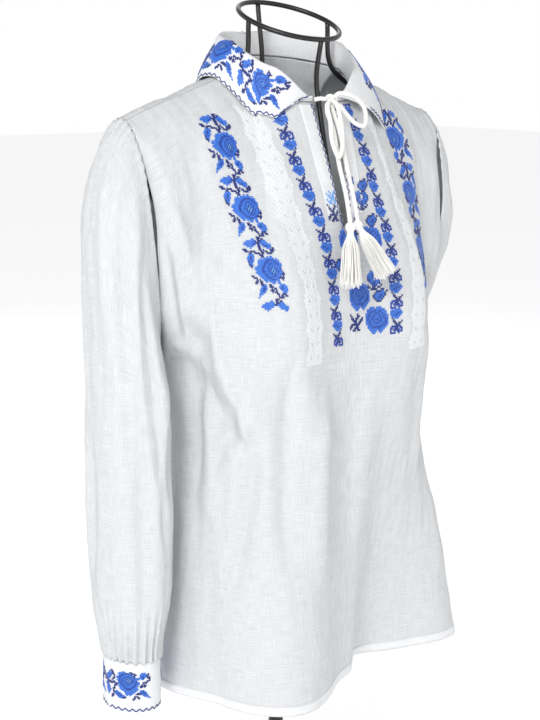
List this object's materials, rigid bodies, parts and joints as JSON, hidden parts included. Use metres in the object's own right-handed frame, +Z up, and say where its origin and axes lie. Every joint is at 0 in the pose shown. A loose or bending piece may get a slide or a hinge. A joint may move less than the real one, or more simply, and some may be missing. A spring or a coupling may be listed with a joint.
{
  "type": "embroidered folk blouse on wire dress form",
  "caption": "White cotton Romanian ie blouse with blue cross-stitch flowers, a turned-down collar and tasselled tie, worn by a black wire dress form on a round base.",
  "frame": {"origin": "middle of the underside of the round base plate, on the surface it stands on", "axes": "+Z up, -Y towards the front of the blouse, -X towards the wearer's right sleeve"},
  "size_m": [0.4714, 0.2721, 0.889],
  "materials": {
    "cotton_cloth": "thin slubbed plain weave, matt",
    "cotton_cord": "braided cotton, matt",
    "black_wire": "black paint, satin"
  },
  "bodies": {
    "root": {"front_panel": "cotton_cloth", "back_panel": "cotton_cloth", "sleeve_right": "cotton_cloth", "sleeve_left": "cotton_cloth", "cuff_right": "cotton_cloth", "cuff_left": "cotton_cloth", "collar": "cotton_cloth", "tie_knot": "cotton_cord", "tie_lead_right": "cotton_cord", "tie_lead_left": "cotton_cord", "tie_loop_left": "cotton_cord", "tie_loop_right": "cotton_cord", "tie_end_right": "cotton_cord", "tie_end_left": "cotton_cord", "tassel_right": "cotton_cord", "tassel_left": "cotton_cord", "form_neck_ring": "black_wire", "form_bust_ring": "black_wire", "form_waist_ring": "black_wire", "form_hip_ring": "black_wire", "form_rib_0": "black_wire", "form_rib_45": "black_wire", "form_rib_135": "black_wire", "form_rib_180": "black_wire", "form_rib_225": "black_wire", "form_rib_315": "black_wire", "form_shoulder_right": "black_wire", "form_shoulder_left": "black_wire", "form_arm_0": "black_wire", "form_arm_90": "black_wire", "form_arm_180": "black_wire", "form_arm_270": "black_wire", "form_post": "black_wire", "form_base": "black_wire"}
  },
  "joints": []
}
